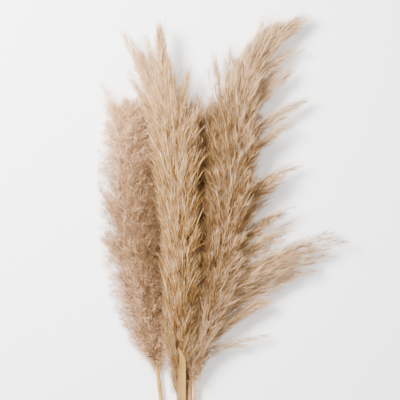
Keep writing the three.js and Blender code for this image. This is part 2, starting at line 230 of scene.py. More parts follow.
# The plumes' hair: what is usual, and below it what differs.
# sets, fill: sets of branches, and extra ones for the cleft beside the left plume.
# splay, right_share: how much branches low on the right splay, and how many more point right.
# foot: where the short branches round the stalk start.
# hairs, lock_hairs, wisps: numbers on the branches, on the long locks and of the long wisps.
# length, width, stem: of a hair, and the width of the tufts' stems, in millimetres.
# spread, gather, curl, tangle: how far hairs lean off and stand off their branch, curl and tangle.
# ease: how much shorter and more tangled they are at the foot.
# hang, outer, fan: how much they turn up the plume, how far out they sit, how wide the locks fan out.
# grain, mottle: how close and how strong their light and dark spots are.
# tip_light, foot_light: how much paler the tip and the foot are.
USUAL_HAIR = dict(
    sets=5, fill=0, splay=0.2, right_share=0.0, length=22, width=0.5, gather=6.5, curl=0.6, outer=1.3,
    fan=0.8, grain=0.3, mottle=0.6, tip_light=0.75, foot_light=0.34)
HAIR = {
    "plume_back": dict(
        foot=0.0, hairs=40000, lock_hairs=2500, wisps=2000, length=20, width=0.46, stem=0.6, spread=0.6,
        curl=0.7, tangle=0.3, ease=0.2, hang=0.4, mottle=0.45),
    "plume_left": dict(
        fill=2, right_share=0.1, foot=-0.022, hairs=102000, lock_hairs=3500, wisps=5000, length=12,
        width=0.46, stem=0.4, spread=0.9, curl=1.0, tangle=0.5, ease=0.0, hang=0.0, outer=1.8, grain=0.8,
        mottle=0.75, tip_light=0.8),
    "plume_right": dict(
        splay=0.6, foot=0.012, hairs=110000, lock_hairs=34000, wisps=10500, stem=0.8, spread=0.36,
        tangle=0.26, ease=0.7, hang=0.5, fan=1.2, foot_light=0.6),
    "plume_centre": dict(
        splay=0.0, foot=-0.03, hairs=76000, lock_hairs=14000, wisps=8500, stem=0.5, spread=0.28,
        gather=7.0, tangle=0.22, ease=0.8, hang=1.0, fan=0.7, tip_light=1.15, foot_light=0.28),
}
# What differs for the hairs on the long locks.
LOCK_HAIR = dict(length=21, hang=0.0, spread=0.5, tangle=0.2, ease=0.0, outer=1.0)
# The mats of dark hair low in the clefts, whose darkness is painted shade: the plume whose line bounds
#  each with its own, how far up it runs and its number of hairs.
SHADE_MATS = {"plume_left": ("plume_centre", 315.0, 5500), "plume_back": ("plume_back", 312.0, 4500)}

# Each straw material: its name, how closely its fibres lie in x, y and z, per metre, and its roughness.
STRAWS = {
    "straw": ("dry_straw", (1600, 12, 1600), 0.45),
    # Rosy straw: paler, partly painted light for the shaded right stalks.
    "rosy_straw": ("rosy_straw", (1600, 12, 1600), 0.45),
    # The rolled sheath's darker colour is painted shade.
    "rolled": ("rolled_sheath", (1300, 10, 1300), 0.6),
    "sheath": ("dry_sheath", (1300, 10, 1300), 0.5),
    "withered": ("withered_leaf", (1300, 20, 1300), 0.8),
    "pith": ("spongy_pith", (900, 900, 900), 0.9),
}


def linear(code):
    """A written sRGB colour, such as #c8a878, as linear values."""
    values = np.array([int(code[i:i + 2], 16) for i in (1, 3, 5)]) / 255
    return tuple(np.where(values <= 0.04045, values / 12.92, ((values + 0.055) / 1.055) ** 2.4))


def tint(name, description, code):
    """A colour setting whose default is a written sRGB colour."""
    return FloatVectorProperty(name=name, description=description, subtype="COLOR", size=3,
                               default=linear(code))


class PampasPlumes(bpy.types.PropertyGroup):
    """Sizes and colours of the plumes."""
    hair_share: FloatProperty(name="Hair share", description="Share of the full number of hairs",
                              default=1.0, min=0.05, max=1.0)
    seed: IntProperty(name="Seed", description="Start of the repeatable draws", default=7)
    left_shade: tint("Left shade", "Deep hairs of the left plume", "#54361c")
    left_light: tint("Left light", "Outer hairs of the left plume", "#e8b988")
    centre_shade: tint("Centre shade", "Deep hairs of the centre plume", "#4c2b13")
    centre_light: tint("Centre light", "Outer hairs of the centre plume", "#c49557")
    back_shade: tint("Back shade", "Deep hairs of the back plume", "#573215")
    back_light: tint("Back light", "Outer hairs of the back plume", "#cba26c")
    right_shade: tint("Right shade", "Deep hairs of the right plume", "#523218")
    right_light: tint("Right light", "Outer hairs of the right plume", "#c79c68")
    pale: tint("Pale", "Bleached tips of the hairs", "#ffeed6")


class PampasStalks(bpy.types.PropertyGroup):
    """Sizes and colours of the stalks and their sheaths."""
    top_radius: FloatProperty(name="Top radius", description="Radius of a stalk below its plume",
                              default=3.6 * MM, unit="LENGTH")
    foot_radius: FloatProperty(name="Foot radius", description="Radius of a stalk at its cut end",
                               default=4.5 * MM, unit="LENGTH")
    straw: tint("Straw", "Ripe stalk colour", "#d29c48")
    # Partly the right stalks' own rosy tint, partly painted light: paler than straw against the shade the
    # plumes cast on them.
    rosy_straw: tint("Rosy straw", "Colour of the two right stalks", "#e6b487")
    straw_shade: tint("Straw shade", "Fibre and knot colour", "#a5783c")
    pith: tint("Pith", "Cut end colour", "#f0e4c8")
    # Painted shade: the rolled side is the sheath colour darkened for the side that lies in shade.
    rolled: tint("Rolled sheath", "Colour of the sheath's rolled side", "#8d6f3a")
    sheath: tint("Sheath", "Dry sheath colour", "#ad8b50")
    withered: tint("Withered", "Withered leaf colour", "#a07c4e")


class PampasStage(bpy.types.PropertyGroup):
    """Surface, light and camera."""
    view_width: FloatProperty(name="View width", description="Width of the view at the plumes' height",
                              default=0.72, unit="LENGTH")
    camera_height: FloatProperty(name="Camera height", description="Height above the surface",
                                 default=3.0, unit="LENGTH")
    surface: FloatVectorProperty(name="Surface", description="Surface colour", subtype="COLOR",
                                 size=3, default=(0.95, 0.95, 0.95))
    lamp_power: FloatProperty(name="Lamp power", description="Power of the soft lamp",
                              default=170.0, unit="POWER")
    sky_strength: FloatProperty(name="Sky strength", description="Light from all round", default=0.5)
    surface_glow: FloatProperty(name="Surface glow", description="Light that the surface gives off",
                                default=0.8)


def draw(seed, index, channel):
    """The CAD part's repeatable draw between 0 and 1."""
    wave = np.sin(seed * 37.7 + index * 12.9898 + channel * 78.233) * 43758.5453
    return wave - np.floor(wave)


def unit(v):
    """Vectors scaled to length one."""
    return v / np.maximum(np.linalg.norm(v, axis=-1, keepdims=True), 1e-12)


def spline(points, share):
    """A uniform Catmull-Rom curve through the points, at even shares of its parameter. In words: each
    stretch is a cubic whose end slopes are half the chord between the neighbouring points."""
    p = np.array(points, float)
    p = np.vstack([2 * p[0] - p[1], p, 2 * p[-1] - p[-2]])
    place = np.clip(share, 0, 1) * (len(p) - 3)
    low = np.minimum(place.astype(int), len(p) - 4)
    t = (place - low)[:, None]
    p0, p1, p2, p3 = (p[low + i] for i in range(4))
    m1, m2 = (p2 - p0) / 2, (p3 - p1) / 2
    return ((2 * t**3 - 3 * t**2 + 1) * p1 + (t**3 - 2 * t**2 + t) * m1
            + (3 * t**2 - 2 * t**3) * p2 + (t**3 - t**2) * m2)


def even_path(points):
    """The curve through the points as evenly spaced points, their tangents and its length."""
    dense = spline(points, np.linspace(0, 1, 60 * len(points)))
    run = np.concatenate([[0], np.cumsum(np.linalg.norm(np.diff(dense, axis=0), axis=1))])
    even = np.linspace(0, run[-1], PATH_POINTS)
    path = np.stack([np.interp(even, run, dense[:, k]) for k in range(3)], 1)
    return path, unit(np.gradient(path, axis=0)), run[-1]


# Each rachis is worked out once, for all the operators.
for each in PLUMES.values():
    each["path"] = even_path(each["axis"])


def station(plume, u):
    """Points and tangents at shares u of a rachis, which runs on straight past its tip."""
    path, tangents, length = plume["path"]
    held = np.clip(u, 0, 1)
    share = np.linspace(0, 1, len(path))
    point = np.stack([np.interp(held, share, path[:, k]) for k in range(3)], -1)
    tangent = unit(np.stack([np.interp(held, share, tangents[:, k]) for k in range(3)], -1))
    return point + tangent * ((u - held) * length)[..., None], tangent


def at(values, share):
    """A list of equally spaced values, read between them."""
    return np.interp(np.clip(share, 0, 1), np.linspace(0, 1, len(values)), values)


def half_width(plume, share):
    """The mean of a plume's reach to the left and to the right."""
    return (at(plume["left"], share) + at(plume["right"], share)) / 2


def gaps(plume, points, stride):
    """Distances from each point to every stride-th point of a rachis."""
    return np.linalg.norm(points[:, None] - plume["path"][0][None, ::stride], axis=2)


def distance_to(plume, points):
    """Distance from a rachis, less the half width that the plume keeps for itself."""
    return gaps(plume, points, REACH_STRIDE).min(1) - plume["weight"]


def distance_to_others(plume, points):
    """The same distance to whichever neighbour is nearest."""
    return np.min([distance_to(q, points) for q in PLUMES.values() if q is not plume], axis=0)


def free_reach(plume, point, out, wanted):
    """How far branches reach from their rachis: to the outline, the surface or a neighbour."""
    reach = np.full(len(wanted), REACH_STEP)
    alive = reach < wanted
    while alive.any():
        p = point + out * reach[:, None]
        gap = distance_to_others(plume, p) - distance_to(plume, p)
        alive &= (p[:, 2] >= SURFACE_CLEARANCE) & (gap >= NEIGHBOUR_CLEARANCE)
        alive &= reach < wanted
        reach = np.where(alive, reach + REACH_STEP, reach)
    return np.minimum(reach, wanted)


def outline_reach(plume, u, turn):
    """The outline round the rachis, an ellipse quarter on each side: reach = 1 / the length of
    (cos(turn) / side, sin(turn) / up)."""
    side = np.where(np.cos(turn) > 0, at(plume["right"], u), at(plume["left"], u))
    return 1 / np.hypot(np.cos(turn) / side, np.sin(turn) / at(plume["up"], u))


def outward(tangent, turn):
    """Directions square to the tangents, turned round them from the level right over upwards."""
    level = unit(np.cross(tangent, UP))
    rise = unit(np.cross(level, tangent))
    return level * np.cos(turn)[:, None] + rise * np.sin(turn)[:, None]


def branch_curves(plume, look):
    """Branches as root, bend and tip, and how slim each is where its plume is slim: first one set by the
    CAD part's own rule, at shares u = 0.04 + ((i + 0.5) / n)^0.95 and turns of the golden angle, then
    finer ones, of which those low on the right splay more. Bend = root + 0.55 (end - root) + 0.45 reach."""
    roots, bends, tips, slim = [], [], [], []
    for k in range(look["sets"] + look["fill"]):
        count = plume["branches"]
        seed = plume["seed"] + 10 * k
        index = np.arange(count)
        u = 0.04 + np.power((index + 0.5) / count, 0.95)
        u = u + (k > 0) * (draw(seed, index, 3) - 0.5) * 0.06
        turn = index * GOLDEN_ANGLE + k * 1.7
        turn = turn - (k > 0) * look["right_share"] * np.sin(turn)
        if k >= look["sets"]:
            turn = FILL_TURN[0] + (FILL_TURN[1] - FILL_TURN[0]) * draw(seed, index, 4)
        advance = plume["advance"] * (0.8 + 0.4 * draw(seed, index, 1)) * (1 - 0.12 * k)
        splay = (k > 0) * look["splay"] * np.clip(np.cos(turn) * 2, 0, 1) * np.clip(1.2 - 2 * u, 0, 1)
        advance = advance * (1 - splay)
        root, _ = station(plume, np.maximum(u - advance / plume["path"][2], 0.004))
        end, tangent = station(plume, u)
        out = outward(tangent, turn)
        least = 0.92 if k == 0 else 0.66
        wanted = outline_reach(plume, u, turn) * (least + (1.14 - least) * draw(seed, index, 2))
        reach = free_reach(plume, end, out, wanted)
        roots.append(root)
        tips.append(end + out * reach[:, None])
        bends.append(root + (end - root) * 0.55 + out * (reach * 0.45)[:, None])
        slim.append(np.clip(half_width(plume, u) / SLIM_BELOW, LEAST_SLIMNESS, 1))
    return np.vstack(roots), np.vstack(bends), np.vstack(tips), np.concatenate(slim)


def foot_curves(plume, look):
    """Short low branches that close the plume's foot round its stalk, at turns of the golden angle:
    reach = outline * (0.35 + 0.5 climb)."""
    index = np.arange(FOOT_BRANCHES)
    climb = draw(plume["seed"], index, 5)
    share = look["foot"] + (FOOT_TOP - look["foot"]) * climb
    end, tangent = station(plume, share)
    root, _ = station(plume, share - 0.05)
    turn = index * GOLDEN_ANGLE
    out = outward(tangent, turn)
    reach = outline_reach(plume, FOOT_TOP * climb, turn) * (0.35 + 0.5 * climb)
    tip = end + out * reach[:, None]
    return root, root + (end - root) * 0.5 + out * (reach * 0.4)[:, None], tip


def lock_curves(plume, look, rng):
    """The long locks, each as a fan of strands: the lock's own tip, strayed by the fan's width and drawn
    back to 0.55 to 1.02 of the way from its root."""
    locks = np.array(plume["locks"], float)
    locks = np.repeat(locks, (3 + 1.6 * locks[:, 4]).astype(int), axis=0)
    root, tangent = station(plume, np.clip(locks[:, 0] + rng.normal(0, 0.012, len(locks)), 0.01, 1))
    far = np.linalg.norm(locks[:, 1:4] - root, axis=1, keepdims=True)
    fan = np.minimum(locks[:, 4:5] * look["fan"], far * 0.1)
    tip = locks[:, 1:4] + rng.normal(0, 1, (len(locks), 3)) * fan * np.array([1, 1, 0.6])
    tip = root + (tip - root) * rng.uniform(0.55, 1.02, (len(locks), 1))
    far = np.linalg.norm(tip - root, axis=1, keepdims=True)
    bend = root + (tip - root) * 0.45 + tangent * far * 0.2
    return root, bend, tip


def along(curves, pick, t):
    """Points and tangents at shares t of the picked branch curves, which are quadratic Beziers."""
    root, bend, tip = (c[pick] for c in curves)
    t = t[:, None]
    point = (1 - t) ** 2 * root + 2 * t * (1 - t) * bend + t**2 * tip
    return point, unit((1 - t) * (bend - root) + t * (tip - bend))


def eased(value, limit, room):
    """Values held to a limit with a soft stop: min(value, limit) + room * (1 - e^(-past / room))."""
    past = np.maximum(value - limit, 0)
    return np.minimum(value, limit) + room * (1 - np.exp(-past / room))


def settle(points):
    """Presses what would sink below the surface into a thin layer on it, what would stand above the
    plumes' crest or past their sides and tips back to there, and what would cover the sheath's blade
    below it. Below the layer's height h: z = h * e^((z - h) / h)."""
    side = points[..., 0] - MIDDLE[0]
    x = MIDDLE[0] + np.sign(side) * eased(np.abs(side), SIDE_REACH, SIDE_ROOM)
    y = eased(points[..., 1], MIDDLE[1] + TOP_REACH, SIDE_ROOM)
    foot, end = LIP[0][1], LIP[-1][1]
    way = np.clip((y - foot) / (end - foot), 0, 1)
    lip = spline(LIP, np.linspace(0, 1, LIP_POINTS))
    beside = np.abs(x - np.interp(y, lip[:, 1], lip[:, 0]))
    roof = np.interp(y, lip[:, 1], lip[:, 2]) - LIP_DROP
    roof = roof + LIP_SLOPE * np.maximum(beside - LIP_ROOM * (1 - way) ** 0.5 - 1, 0)
    z = np.minimum(points[..., 2], roof + LIP_TIP_SLOPE * np.maximum(y - end, 0))
    pressed = SETTLE_HEIGHT * np.exp((np.minimum(z, SETTLE_HEIGHT) - SETTLE_HEIGHT) / SETTLE_HEIGHT)
    z = np.where(z < SETTLE_HEIGHT, pressed, eased(z, CREST_HEIGHT, CREST_ROOM))
    return np.stack([x, y, z], -1)


def to_row(points):
    """From the measuring frame in millimetres to the part's frame in metres."""
    return (points - MIDDLE) * MM


def show(name, data):
    """A new object in the scene."""
    shown = bpy.data.objects.new(name, data)
    bpy.context.scene.collection.objects.link(shown)
    return shown


def strip_mesh(name, rows, ways, tone, sides, faces):
    """Many small strips of the same make: rows holds each one's points, ways their share of the way,
    tone each strip's tone, sides what its points add to that, so that no face is empty in the UV map."""
    count, points = rows.shape[:2]
    rows[..., 2] = np.maximum(rows[..., 2], LOWEST)
    level = np.clip(tone, *TONE_ENDS)[:, None] + sides
    uvs = np.stack([np.broadcast_to(ways, level.shape), level], 2)
    corners = np.array(sum(faces, []))
    totals = np.array([len(face) for face in faces])
    loops = (corners[None, :] + points * np.arange(count)[:, None]).ravel()
    starts = np.cumsum(totals) - totals
    starts = (starts[None, :] + len(corners) * np.arange(count)[:, None]).ravel()
    mesh = bpy.data.meshes.new(name)
    mesh.vertices.add(count * points)
    mesh.vertices.foreach_set("co", rows.astype(np.float32).ravel())
    mesh.loops.add(len(loops))
    mesh.loops.foreach_set("vertex_index", loops.astype(np.int32))
    mesh.polygons.add(len(starts))
    mesh.polygons.foreach_set("loop_start", starts.astype(np.int32))
    mesh.update(calc_edges=True)
    layer = mesh.uv_layers.new(name="OFBake")
    layer.data.foreach_set("uv", uvs[:, corners].astype(np.float32).ravel())
    mesh.polygons.foreach_set("use_smooth", np.ones(len(starts), bool))
    return show(name, mesh)


def ribbons(name, path, facing, width, tone):
    """Ribbons along paths of shape (ribbons, steps + 1, 3): full width at a third of the way, and
    nothing at the tip. facing is the direction across each ribbon."""
    count, points = path.shape[:2]
    path = to_row(path)
    share = np.linspace(0, 1, points)
    form = np.interp(share, [0, 0.3, 1], [0.6, 1, 0])[None, :, None]
    half = facing[:, None, :] * (width * MM)[:, None, None] * form / 2
    left, right = path - half, path + half
    rows = np.stack([left[:, :-1], right[:, :-1]], 2).reshape(count, -1, 3)
    rows = np.concatenate([rows, path[:, -1:]], 1)
    ways = 0.02 + 0.96 * np.append(np.repeat(share[:-1], 2), 1.0)
    sides = np.append(np.tile([-0.003, 0.003], points - 1), 0.0)
    last = 2 * points - 4
    faces = [[k, k + 1, k + 3, k + 2] for k in range(0, last, 2)]
    return strip_mesh(name, rows, ways, tone, sides, faces + [[last, last + 1, last + 2]])


def hairs(name, root, middle, tip, facing, width, tone):
    """Hairs as slim bent diamonds of two faces, with points at root and tip."""
    root, middle, tip = (to_row(points) for points in (root, middle, tip))
    half = facing * (width * MM)[:, None] / 2
    rows = np.stack([root, middle + half, middle - half, tip], 1)
    faces = [[0, 1, 2], [2, 1, 3]]
    return strip_mesh(name, rows, [0.02, 0.5, 0.5, 0.98], tone, [0, 0.004, -0.004, 0], faces)


def pick_branches(curves, slim, count, rng):
    """Draws branches, the long and the broad ones more often."""
    lengths = np.linalg.norm(curves[2] - curves[0], axis=1) * slim
    return rng.choice(len(lengths), count, p=lengths / lengths.sum())


def sideways(tangent, rng):
    """A random direction square to each tangent."""
    sway = rng.normal(0, 1, tangent.shape)
    return unit(sway - tangent * (sway * tangent).sum(1, keepdims=True))


def hair_piece(name, curves, slim, plume, look, count, rng):
    """One piece of hairs: way = the branch's way + a lean off it + a hang up the plume + a tangle, and
    tip = point + way * length + curl, with the middle on the straight way."""
    pick = pick_branches(curves, slim, count, rng)
    t = 1 - HAIR_SPAN * rng.random(count) ** look["outer"]
    point, tangent = along(curves, pick, t)
    sway = sideways(tangent, rng)
    thin = (1.35 - t) * slim[pick]
    point = point + sway * (np.abs(rng.normal(0, 1, count)) * look["gather"] * thin)[:, None]
    lean = look["spread"] * slim[pick] * rng.uniform(*HAIR_LEANS, count)
    foot, top = plume["axis"][0][1], plume["axis"][-1][1]
    below = np.clip((top - point[:, 1]) / (top - foot), 0, 1)
    ease = look["ease"] * below
    tangle = look["tangle"] * (1.25 - 0.8 * t) * (1 + 2 * ease)
    path, tangents, _ = plume["path"]
    upwards = tangents[np.searchsorted(path[:-1, 1], point[:, 1])]
    hang = look["hang"] * slim[pick] * rng.uniform(*HAIR_HANGS, count) * (1.4 - 0.8 * below)
    way = unit(tangent + sway * lean[:, None] + upwards * hang[:, None]
               + rng.normal(0, 1, (count, 3)) * tangle[:, None])
    length = look["length"] * rng.uniform(*HAIR_LENGTHS, count) * (1.15 - 0.4 * t) * (1 - 0.5 * ease)
    curl = rng.normal(0, 1, (count, 3)) * (length * look["curl"] * 0.35)[:, None]
    curl = curl - UP * (length * 0.1 * rng.random(count))[:, None]
    middle = settle(point + way * (length * 0.5)[:, None])
    tip = settle(point + way * length[:, None] + curl)
    # The hairs' tone carries painted shade deep in the plume, in its clefts and between its locks.
    tone = hair_tone(plume, look, middle) + tuft_tone(plume, curves[2])[pick]
    tone = tone + rng.normal(0, HAIR_NOISE, count)
    facing = unit(np.cross(way, unit(rng.normal(0, 1, (count, 3)) + UP * 0.6)))
    width = look["width"] * rng.uniform(*HAIR_WIDTHS, count)
    return hairs(name, settle(point), middle, tip, facing, width, tone)


def wisp_piece(name, curves, slim, plume, look, rng):
    """Long fine strands, paler than the rest: path = branch + way * s + curl * s^2, with s the way
    along the strand."""
    count = look["wisps"]
    pick = pick_branches(curves, slim, count, rng)
    t = rng.uniform(*WISP_STARTS, count)
    point, tangent = along(curves, pick, t)
    sway = sideways(tangent, rng)
    point = point + sway * rng.uniform(0, look["gather"], count)[:, None]
    lean = look["spread"] * slim[pick] * rng.uniform(*WISP_LEANS, count)
    way = unit(tangent + sway * lean[:, None])
    length = look["length"] * rng.uniform(*WISP_LENGTHS, count) * (1.2 - 0.5 * t)
    curl = rng.normal(0, 1, (count, 3)) * (length * look["curl"] * 0.45 * (1.1 - t))[:, None]
    share = np.linspace(0, 1, 4)[None, :, None]
    path = point[:, None, :] + way[:, None, :] * length[:, None, None] * share
    path = settle(path + curl[:, None, :] * share**2)
    tone = 0.4 + hair_tone(plume, look, path[:, 1]) + rng.normal(0, 0.25, count)
    facing = unit(np.cross(way, unit(rng.normal(0, 0.6, (count, 3)) + UP)))
    return ribbons(name, path, facing, rng.uniform(*WISP_WIDTHS, count), tone)


def shade_mat_piece(name, plume, rng):
    """Dark hairs pressed together low down, nearly straight up the plumes, their darkness painted shade in
    the clefts: x = the middle between two rachises at the hair's y, strayed by the mat's spread."""
    other, end, count = SHADE_MATS[name]
    y = rng.uniform(MAT_START, end, count)
    paths = [side["path"][0] for side in (plume, PLUMES[other])]
    x = np.mean([np.interp(y, path[:, 1], path[:, 0]) for path in paths], axis=0)
    root = np.stack([x + rng.normal(0, MAT_SPREAD, count), y, rng.uniform(*MAT_HEIGHTS, count)], 1)
    way = unit(np.stack([rng.normal(0, 0.45, count), np.ones(count), rng.normal(0, 0.08, count)], 1))
    length = rng.uniform(*MAT_LENGTHS, count)
    tip = root + way * length[:, None] + rng.normal(0, 2, (count, 3)) * np.array([1, 1, 0.3])
    middle = root + way * (length * 0.5)[:, None]
    facing = unit(np.cross(way, UP + rng.normal(0, 0.2, (count, 3))))
    tone = rng.uniform(*MAT_SHADE_TONES, count)
    made = [settle(points) for points in (root, middle, tip)]
    return hairs(name + "_mat", *made, facing, rng.uniform(*MAT_WIDTHS, count), tone)


def tuft_tone(plume, tips):
    """Each tuft's own tone: bands of painted shade and light between the broad locks, up and round the
    plume, and a draw of its own: 0.2 sin(bands * share + 2 sin(3 turn)) + 0.8 (draw - 0.5)."""
    share = depth(plume, tips)[1]
    middle, _ = station(plume, share)
    turn = np.arctan2(tips[:, 2] - middle[:, 2], tips[:, 0] - middle[:, 0])
    # Bands of painted shade and light between the locks.
    locks = np.sin(LOCK_SHADE_BANDS * share + 2 * np.sin(3 * turn))
    return 0.2 * locks + 0.8 * (draw(plume["seed"], np.arange(len(tips)), 8) - 0.5)


def hair_tone(plume, look, points):
    """Painted shade, brown deep in the plume and in the clefts beside its neighbours, rising to pale at its
    outline, and painted light a little paler past it; paler towards its tip and foot, with soft streaks
    some 22 mm apart and a grain of 4 to 8 mm: tone = 0.6 near^1.9 - 0.03 + foot + tip - 1.4 cleft
    + 0.3 streaks + mottle * grain."""
    near, share, cleft, outside = np.concatenate(
        [depth(plume, points[k:k + TONE_BLOCK]) for k in range(0, len(points), TONE_BLOCK)], axis=1)
    x, y, z = points.T
    streaks = np.sin(x / 3.6 + 2 * np.sin(y / 37)) * np.sin(y / 29 + z / 8 + 1.6 * np.sin(x / 11))
    grain = np.sin(1.5 * x + 2 * np.sin(y / 3.7)) * np.sin(look["grain"] * y + z / 7 + 1.5 * np.sin(x / 2.9))
    # outside paints light on hairs past the outline; near and cleft paint the shade deep in the plume and in
    # its clefts.
    tip = look["tip_light"] * np.clip((share - 0.58) / 0.42, 0, 1) + 0.2 * outside
    foot = look["foot_light"] * np.clip(1 - share / 0.45, 0, 1)
    cleft = cleft * np.clip(share * 4, 0.3, 1) * (1 - 0.9 * outside)
    return 0.6 * near**1.9 - 0.03 + foot + tip - 1.4 * cleft + 0.3 * streaks + look["mottle"] * grain


def depth(plume, points):
    """How far out points lie, 0 on the rachis and 1 at the outline, their share of its length, how deep
    they are in a cleft, 1 where a neighbour is as near as their own plume, and how far outside the
    outline, 1 at twice its reach. The first, third and last set the hairs' painted shade and light."""
    gap = gaps(plume, points, TONE_STRIDE)
    share = gap.argmin(1) / (gap.shape[1] - 1)
    own = gap.min(1) - plume["weight"]
    cleft = np.exp(-np.maximum(distance_to_others(plume, points) - own, 0) / CLEFT_WIDTH)
    out = gap.min(1) / half_width(plume, share)
    return np.stack([np.clip(out, 0, 1), share, cleft, np.clip(out - 1, 0, 1)])


def strand_piece(name, curves, width, rng):
    """The fine stems inside the tufts: one ribbon along each branch, through even points of its curve."""
    count = len(curves[0])
    pick = np.arange(count)
    shares = np.linspace(0.05, 1.0, STEM_POINTS)
    path = np.stack([along(curves, pick, np.full(count, s))[0] for s in shares], 1)
    tangent = unit(path[:, -1] - path[:, 0])
    facing = unit(np.cross(tangent, UP + rng.normal(0, 0.3, (count, 3))))
    levels = STEM_TONE + rng.normal(0, 0.1, count)
    widths = width * rng.uniform(0.7, 1.3, count)
    return ribbons(name, settle(path), facing, widths, levels)


def turns(sides):
    """Even turns round a tube."""
    return np.linspace(0, 2 * math.pi, sides, endpoint=False)


def ribs(sides, count, rise):
    """Shares of the radius round a tube with shallow ribs: 1 + rise * cos(count * turn)."""
    return 1 + rise * np.cos(count * turns(sides))[None, :]


def tube_grid(path, across, up, sides, bow=0.0):
    """Rings round a path, of half width across and half thickness up: point = path
    + level * across * cos(turn) + rise * (up * sin(turn) + bow * across * cos(turn)^2)."""
    tangents = unit(np.gradient(path, axis=0))
    level = unit(np.cross(tangents, UP))
    rise = np.cross(level, tangents)
    turn = turns(sides)
    across, up = across.reshape(len(path), -1), up.reshape(len(path), -1)
    wide = np.cos(turn) * across
    high = np.sin(turn) * up + bow * across * np.cos(turn) ** 2
    return path[:, None] + level[:, None] * wide[..., None] + rise[:, None] * high[..., None]


def tube_mesh(name, grid):
    """A closed tube through rings of points, its two ends closed with a fan of flat faces."""
    rings, sides = grid.shape[:2]
    grid = to_row(grid)
    verts = np.vstack([grid.reshape(-1, 3), grid[0].mean(0), grid[-1].mean(0)])
    i, j = np.meshgrid(np.arange(rings - 1), np.arange(sides), indexing="ij")
    k = (j + 1) % sides
    wall = np.stack([i * sides + j, (i + 1) * sides + j, (i + 1) * sides + k, i * sides + k], -1)
    j = np.arange(sides)
    k = (j + 1) % sides
    base = (rings - 1) * sides
    near = np.stack([np.full(sides, rings * sides), j, k], -1)
    far = np.stack([np.full(sides, rings * sides + 1), base + k, base + j], -1)
    mesh = bpy.data.meshes.new(name)
    mesh.from_pydata(verts.tolist(), [], wall.reshape(-1, 4).tolist() + near.tolist() + far.tolist())
    smooth = np.ones(len(mesh.polygons), bool)
    smooth[-2 * sides:] = False
    mesh.polygons.foreach_set("use_smooth", smooth)
    mesh.update()
    return show(name, mesh)


def head_piece(name, plume):
    """The dense head: a tube that follows the CAD head's own profile, a little inside it: half width =
    rachis + reach * core, closed round at both ends, with five soft ridges that wind up it."""
    share = np.linspace(HEAD_START, 1, 64)
    path, _ = station(plume, share * 0.985)
    past = np.clip((share - CORE_TAPER_START) / (1 - CORE_TAPER_START), 0, 1)
    foot = np.minimum(share / CORE_FOOT_LENGTH, 1)
    core = plume["core"] * foot * (1 + (CORE_TIP_SHARE - 1) * past) * HEAD_INSET
    rachis = RACHIS_RADIUS * (1 - core)
    close = np.sqrt(np.clip((1 - share) * 25, 0, 1) * np.clip((share - HEAD_START) * 40, 0, 1))
    ripple = 1 + 0.05 * np.sin(5 * turns(HEAD_SIDES)[None, :] + share[:, None] * 90)
    side = ((rachis + half_width(plume, share) * core) * close)[:, None] * ripple
    up = ((rachis + at(plume["up"], share) * core) * close)[:, None] * ripple
    return tube_mesh(name, settle(tube_grid(path, side, up, HEAD_SIDES)))


def rachis_piece(name, plume, radius):
    """The stalk's own thin end, which runs on into the plume and thins by 35% over a fifth of it."""
    share = np.linspace(0, 0.2, 24)
    path, _ = station(plume, share)
    size = radius / MM * (1 - 0.35 * share / 0.2)
    return tube_mesh(name, tube_grid(path, size, size, RACHIS_SIDES))


def stalk_path(stalk, share):
    """A stalk's centre line, from its plume's foot to its cut end."""
    x = LANES_X + stalk["lane"] * FOOT_SPACING
    foot, _ = station(PLUMES[stalk["plume"]], np.zeros(1))
    ends = [[x, LANES_START_Y, FOOT_RADIUS], [x, stalk["end"], FOOT_RADIUS]]
    return spline([*foot.tolist(), *stalk["way"], *ends], share)


def stalk_piece(name, stalk, top_radius, foot_radius):
    """A round culm with shallow ribs, a swollen knot and a scar ring: radius = top to foot, plus
    0.5 e^(-(d/7)^2) + 0.45 e^(-(d/1.1)^2) with d the way from the knot in millimetres."""
    near_knot = stalk["knot"] + np.linspace(-0.012, 0.012, 25)
    share = np.sort(np.concatenate([np.linspace(0, 1, 72), near_knot]))
    path = stalk_path(stalk, share)
    knot = stalk_path(stalk, np.array([stalk["knot"]]))
    away = np.linalg.norm(path - knot, axis=1)
    radius = (top_radius + (foot_radius - top_radius) * share) / MM
    radius = radius + 0.5 * np.exp(-((away / 7) ** 2)) + 0.45 * np.exp(-((away / 1.1) ** 2))
    size = radius[:, None] * ribs(CULM_SIDES, 9, 0.014)
    grid = tube_grid(path, size, size, CULM_SIDES)
    grid[..., 2] = np.maximum(grid[..., 2], 0.02)
    return tube_mesh(name, grid)


def sheath_piece(name, stalk):
    """The rolled sheath: a flattened, ribbed tube round the stalk, which closes to half its width at
    its start under the plume."""
    share = np.linspace(0, 1, 60)
    path = stalk_path(stalk, SHEATH_SPAN[0] + (SHEATH_SPAN[1] - SHEATH_SPAN[0]) * share)
    close = 0.5 + 0.5 * np.sin(np.clip(share / 0.16, 0, 1) * math.pi / 2)
    side, up = (((a + (b - a) * share) * close)[:, None] * ribs(SHEATH_SIDES, 14, 0.02)
                for a, b in zip(SHEATH_START, SHEATH_END))
    return tube_mesh(name, tube_grid(path, side, up, SHEATH_SIDES))


def lip_piece(name):
    """The sheath's free blade: channelled, ribbed and drawn out over its last 30% to a point that bends
    to the left."""
    share = np.linspace(0, 1, 48)
    path = spline(LIP, share)
    fat = np.clip((1 - share) / 0.3, 0, 1) ** 0.8 * LIP_HALF_WIDTH
    thick = (0.9 * np.minimum(fat / 3, 1) + 0.1)[:, None] * ribs(LIP_SIDES, 12, 0.12)
    return tube_mesh(name, tube_grid(path, fat + 0.1, thick, LIP_SIDES, 0.3))


